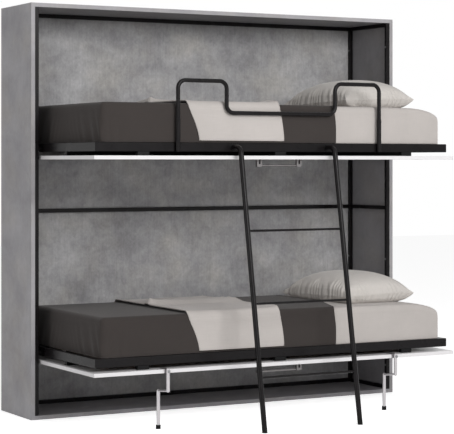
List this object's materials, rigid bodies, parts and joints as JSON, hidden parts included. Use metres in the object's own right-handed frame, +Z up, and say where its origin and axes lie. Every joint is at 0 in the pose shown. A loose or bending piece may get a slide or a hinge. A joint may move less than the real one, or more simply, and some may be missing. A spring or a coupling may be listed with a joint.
{
  "type": "fold-down wall bunk bed",
  "caption": "Bunk-style fold-down wall bed: shallow cabinet whose beds fold up sideways on gas struts, with white front panels, swing-out legs, guard rail and hook-on ladder.",
  "frame": {"origin": "centre of the cabinet's underside, on the floor", "axes": "+X to the right along the beds, +Y towards the wall, +Z up; the beds fold down towards -Y"},
  "size_m": [2.12, 1.2897, 2.03],
  "materials": {
    "concrete_board": "matte",
    "concrete_back": "matte",
    "dowel_wood": "matte",
    "black_steel": "satin",
    "black_screws": "satin",
    "zinc_steel": "satin",
    "black_plastic": "matte",
    "rubber": "matte",
    "silver_tube": "satin",
    "brushed_handle": "satin",
    "slat_wood": "satin",
    "white_board": "satin",
    "sheet_fabric": "matte",
    "coverlet_fabric": "matte",
    "throw_fabric": "matte",
    "pillow_fabric": "matte",
    "strut_black": "gloss",
    "strut_chrome": "polished"
  },
  "bodies": {
    "cabinet": {"left_side_panel": "concrete_board", "right_side_panel": "concrete_board", "top_panel": "concrete_board", "bottom_panel": "concrete_board", "back_panel": "concrete_back", "cabinet_dowels": "dowel_wood", "left_side_frame": "black_steel", "right_side_frame": "black_steel", "back_top_rail": "black_steel", "back_mid_rail": "black_steel", "back_bottom_rail": "black_steel", "frame_screws": "zinc_steel", "pivot_plates": "zinc_steel", "pivot_pins": "black_steel", "plate_screws": "zinc_steel"},
    "upper_bed": {"upper_bed_frame": "black_steel", "upper_slats": "slat_wood", "upper_slat_holders": "black_plastic", "upper_front_panel": "white_board", "upper_panel_spacers": "black_plastic", "upper_handle": "brushed_handle", "upper_pivot_bushes": "black_plastic", "upper_strut_anchors": "zinc_steel", "upper_mattress": "sheet_fabric", "upper_coverlet": "coverlet_fabric", "upper_throw": "throw_fabric", "upper_pillow": "pillow_fabric", "guard_sockets": "black_steel", "guard_rail_screws": "black_screws", "ladder_bushes": "black_plastic"},
    "lower_bed": {"lower_bed_frame": "black_steel", "lower_slats": "slat_wood", "lower_slat_holders": "black_plastic", "lower_front_panel": "white_board", "lower_panel_spacers": "black_plastic", "lower_handle": "brushed_handle", "lower_pivot_bushes": "black_plastic", "lower_strut_anchors": "zinc_steel", "lower_mattress": "sheet_fabric", "lower_coverlet": "coverlet_fabric", "lower_throw": "throw_fabric", "lower_pillow": "pillow_fabric", "leg_brackets": "silver_tube", "leg_pins": "zinc_steel"},
    "guard_rail": {"guard_rail": "black_steel"},
    "ladder": {"ladder_stiles": "black_steel", "ladder_rungs": "black_steel", "ladder_feet": "rubber"},
    "left_leg": {"left_leg": "silver_tube", "left_leg_foot": "rubber"},
    "right_leg": {"right_leg": "silver_tube", "right_leg_foot": "rubber"},
    "upper_left_strut_cylinder": {"upper_left_strut_cylinder": "strut_black"},
    "upper_left_strut_rod": {"upper_left_strut_rod": "strut_chrome"},
    "upper_right_strut_cylinder": {"upper_right_strut_cylinder": "strut_black"},
    "upper_right_strut_rod": {"upper_right_strut_rod": "strut_chrome"},
    "lower_left_strut_cylinder": {"lower_left_strut_cylinder": "strut_black"},
    "lower_left_strut_rod": {"lower_left_strut_rod": "strut_chrome"},
    "lower_right_strut_cylinder": {"lower_right_strut_cylinder": "strut_black"},
    "lower_right_strut_rod": {"lower_right_strut_rod": "strut_chrome"}
  },
  "joints": [
    {"name": "upper_bed_fold", "type": "hinge", "parent": "cabinet", "child": "upper_bed", "pos_m": [0, -0.146, 1.317], "axis": [-1, 0, 0], "range_deg": [0, 90], "deforming": ["upper_pillow"]},
    {"name": "lower_bed_fold", "type": "hinge", "parent": "cabinet", "child": "lower_bed", "pos_m": [0, -0.146, 0.321], "axis": [-1, 0, 0], "range_deg": [0, 90], "deforming": ["lower_pillow"]},
    {"name": "upper_left_strut_swing", "type": "hinge", "parent": "cabinet", "child": "upper_left_strut_cylinder", "pos_m": [-1.012, -0.106, 1.517], "axis": [-1, 0, 0], "range_deg": [0, 40.08]},
    {"name": "upper_left_strut_stroke", "type": "slide", "parent": "upper_left_strut_cylinder", "child": "upper_left_strut_rod", "axis": [0, 0.5692, -0.8222], "range_m": [0, 0.13956]},
    {"name": "upper_right_strut_swing", "type": "hinge", "parent": "cabinet", "child": "upper_right_strut_cylinder", "pos_m": [1.012, -0.106, 1.517], "axis": [-1, 0, 0], "range_deg": [0, 40.08]},
    {"name": "upper_right_strut_stroke", "type": "slide", "parent": "upper_right_strut_cylinder", "child": "upper_right_strut_rod", "axis": [0, 0.5692, -0.8222], "range_m": [0, 0.13956]},
    {"name": "lower_left_strut_swing", "type": "hinge", "parent": "cabinet", "child": "lower_left_strut_cylinder", "pos_m": [-1.012, -0.106, 0.521], "axis": [-1, 0, 0], "range_deg": [0, 40.08]},
    {"name": "lower_left_strut_stroke", "type": "slide", "parent": "lower_left_strut_cylinder", "child": "lower_left_strut_rod", "axis": [0, 0.5692, -0.8222], "range_m": [0, 0.13956]},
    {"name": "lower_right_strut_swing", "type": "hinge", "parent": "cabinet", "child": "lower_right_strut_cylinder", "pos_m": [1.012, -0.106, 0.521], "axis": [-1, 0, 0], "range_deg": [0, 40.08]},
    {"name": "lower_right_strut_stroke", "type": "slide", "parent": "lower_right_strut_cylinder", "child": "lower_right_strut_rod", "axis": [0, 0.5692, -0.8222], "range_m": [0, 0.13956]},
    {"name": "left_leg_swing", "type": "hinge", "parent": "lower_bed", "child": "left_leg", "pos_m": [-0.64, -0.832, 0.28], "axis": [0, -1, 0], "range_deg": [0, 75]},
    {"name": "right_leg_swing", "type": "hinge", "parent": "lower_bed", "child": "right_leg", "pos_m": [0.64, -0.832, 0.28], "axis": [0, 1, 0], "range_deg": [0, 75]},
    {"name": "guard_rail_drop", "type": "slide", "parent": "upper_bed", "child": "guard_rail", "axis": [0, 0, -1], "range_m": [0, 0.1321]},
    {"name": "ladder_pull", "type": "slide", "parent": "cabinet", "child": "ladder", "axis": [0, -1, 0], "range_m": [0, 0.06]}
  ],
  "couplings": [
    {"joint": "upper_left_strut_swing", "follows": "upper_bed_fold", "ratio": 0.44475},
    {"joint": "upper_left_strut_stroke", "follows": "upper_bed_fold", "m_per_rad": 0.088782},
    {"joint": "upper_right_strut_swing", "follows": "upper_bed_fold", "ratio": 0.44475},
    {"joint": "upper_right_strut_stroke", "follows": "upper_bed_fold", "m_per_rad": 0.088782},
    {"joint": "lower_left_strut_swing", "follows": "lower_bed_fold", "ratio": 0.44475},
    {"joint": "lower_left_strut_stroke", "follows": "lower_bed_fold", "m_per_rad": 0.088782},
    {"joint": "lower_right_strut_swing", "follows": "lower_bed_fold", "ratio": 0.44475},
    {"joint": "lower_right_strut_stroke", "follows": "lower_bed_fold", "m_per_rad": 0.088782},
    {"joint": "guard_rail_drop", "follows": "upper_bed_fold", "m_per_rad": 0.084034}
  ]
}
